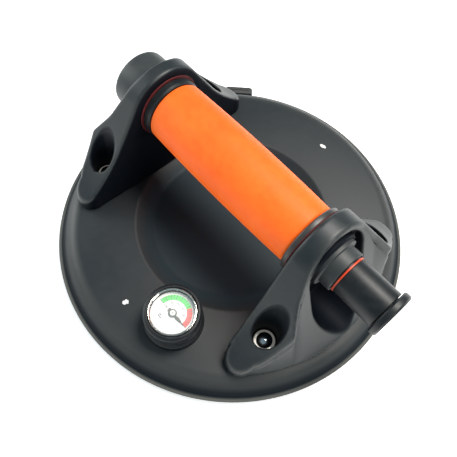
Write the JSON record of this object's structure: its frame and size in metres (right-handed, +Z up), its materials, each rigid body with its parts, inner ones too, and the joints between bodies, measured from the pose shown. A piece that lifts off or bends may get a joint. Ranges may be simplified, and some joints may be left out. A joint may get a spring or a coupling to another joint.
{
  "type": "vacuum suction cup",
  "caption": "Hand-pump vacuum lifter: round rubber suction pad with vacuum gauge, two arched brackets and an orange bar grip that holds the pump plunger.",
  "frame": {"origin": "middle of the suction pad's sealing face, on the surface that the lifter stands on", "axes": "+Z up out of the pad, +X along the grip towards the pump's plunger, -Y towards the gauge"},
  "size_m": [0.205, 0.205, 0.087],
  "materials": {
    "pad_rubber": "matte moulded rubber",
    "seal_rubber": "soft open-textured rubber",
    "tab_rubber": "matte moulded rubber",
    "bracket_plastic": "satin fine-grained moulding",
    "grip_orange": "satin orange",
    "signal_red": "orange-red",
    "black_gloss": "semi-gloss black",
    "aluminium": "turned",
    "steel": "zinc plated",
    "brass": "turned",
    "chrome": "polished",
    "white_plastic": "satin white",
    "needle_grey": "satin grey",
    "clear_lens": "clear",
    "clear_tube": "milky flexible tube",
    "felt": "felt"
  },
  "bodies": {
    "base": {"air_tube": "clear_tube", "backing_plate": "aluminium", "barrel_nose": "black_gloss", "barrel_nut": "black_gloss", "cap_bracket": "bracket_plastic", "end_cap": "bracket_plastic", "filter_disc": "felt", "gauge_base": "bracket_plastic", "gauge_bezel": "black_gloss", "gauge_dial": "white_plastic", "gauge_housing": "black_gloss", "gauge_lens": "clear_lens", "gauge_movement": "brass", "gauge_rim": "chrome", "gauge_stem": "brass", "grip_collar_left": "black_gloss", "grip_collar_right": "black_gloss", "grip_sleeve": "grip_orange", "hub_gasket_left": "signal_red", "hub_gasket_right": "signal_red", "insert_front_left": "brass", "insert_front_right": "brass", "insert_rear_left": "brass", "insert_rear_right": "brass", "nipple_lower": "brass", "nipple_upper": "brass", "pad_liner": "pad_rubber", "pump_barrel": "aluminium", "pump_bracket": "bracket_plastic", "return_spring": "steel", "rod_guide": "white_plastic", "screw_front_left": "steel", "screw_front_right": "steel", "screw_rear_left": "steel", "screw_rear_right": "steel", "sealing_ring": "seal_rubber", "suction_pad": "pad_rubber", "valve_cage": "white_plastic", "valve_seat": "brass", "valve_spring": "steel", "washer_front_left": "steel", "washer_front_right": "steel", "washer_rear_left": "steel", "washer_rear_right": "steel"},
    "plunger": {"plunger_body": "black_gloss", "warning_ring": "signal_red", "plunger_cap": "black_gloss", "piston_rod": "steel", "piston": "white_plastic", "piston_seal": "seal_rubber"},
    "needle": {"gauge_needle": "needle_grey"},
    "tab": {"release_tab": "tab_rubber"},
    "poppet": {"valve_poppet": "tab_rubber"}
  },
  "joints": [
    {"name": "plunger_push", "type": "slide", "parent": "base", "child": "plunger", "axis": [-1, 0, 0], "range_m": [0, 0.022], "stiffness_N_per_m": 250, "springref_m": -0.02, "deforming": ["return_spring"]},
    {"name": "needle_turn", "type": "hinge", "parent": "base", "child": "needle", "pos_m": [0.0252, -0.065, 0.0275], "axis": [0, 0, 1], "range_deg": [0, 180], "stiffness_Nm_per_rad": 0.00002},
    {"name": "tab_lift", "type": "hinge", "parent": "base", "child": "tab", "pos_m": [-0.07106, 0.07106, 0.0075], "axis": [0.7071, 0.7071, 0], "range_deg": [0, 40], "stiffness_Nm_per_rad": 0.002},
    {"name": "valve_lift", "type": "slide", "parent": "base", "child": "poppet", "axis": [1, 0, 0], "range_m": [0, 0.0012], "stiffness_N_per_m": 20, "springref_m": -0.001, "deforming": ["valve_spring"]}
  ]
}
